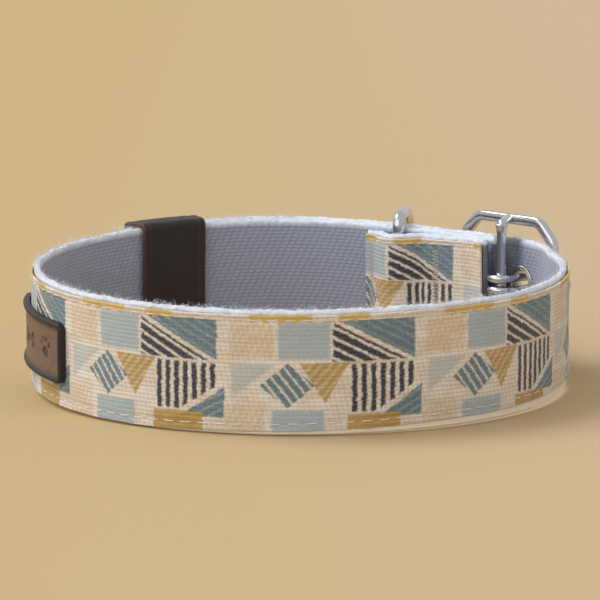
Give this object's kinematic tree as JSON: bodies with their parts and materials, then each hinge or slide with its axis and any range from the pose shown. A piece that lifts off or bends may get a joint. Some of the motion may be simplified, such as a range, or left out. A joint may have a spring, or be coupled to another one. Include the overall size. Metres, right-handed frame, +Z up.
{
  "type": "pin-buckle fabric dog collar",
  "caption": "Printed fabric dog collar closed in a ring, with a centre-bar pin buckle, D-ring, eyelets, leather keeper loop and leather name label.",
  "frame": {"origin": "middle of the footprint on the floor, with the closed collar standing on its lower edge", "axes": "+Z up across the strap's width, -Y towards the plain front of the ring, +X towards the side where the tongue enters the buckle"},
  "size_m": [0.1186, 0.1242, 0.0328],
  "materials": {
    "webbing": "woven polyester webbing, pale lavender grey",
    "printed_cover": "ribbed cotton canvas, cream with a hatched print in blue, teal, mustard and navy",
    "thread": "polyester sewing thread",
    "chrome_steel": "polished nickel-chrome plate",
    "nickel": "satin nickel plate",
    "brown_leather": "dark brown leather, softly worn"
  },
  "bodies": {
    "strap": {"strap_webbing": "webbing", "strap_cover": "printed_cover", "topstitch_fold": "thread", "topstitch_upper": "thread", "topstitch_lower": "thread", "bar_tack_fold_end": "thread", "bar_tack_d_ring": "thread", "eyelet_1": "nickel", "eyelet_2": "nickel", "eyelet_3": "nickel", "eyelet_4": "nickel", "eyelet_washer_1": "nickel", "eyelet_washer_2": "nickel", "eyelet_washer_3": "nickel", "eyelet_washer_4": "nickel", "buckle_frame": "chrome_steel", "label_patch": "brown_leather"},
    "prong": {"buckle_prong": "chrome_steel"},
    "d_ring": {"d_ring": "chrome_steel"},
    "keeper": {"keeper_loop": "brown_leather"}
  },
  "joints": [
    {"name": "prong_hinge", "type": "hinge", "parent": "strap", "child": "prong", "pos_m": [0.04395, 0.0184, 0.01835], "axis": [0, 0, 1], "range_deg": [0, 6]},
    {"name": "d_ring_hinge", "type": "hinge", "parent": "strap", "child": "d_ring", "pos_m": [0.02191, 0.03685, 0.016], "axis": [0, 0, 1], "range_deg": [-66, 12]},
    {"name": "keeper_slide", "type": "hinge", "parent": "strap", "child": "keeper", "pos_m": [-0.00009, -0.00418, 0], "axis": [-0.0076, -0.0304, 0.9995], "range_deg": [-7, 7]}
  ]
}
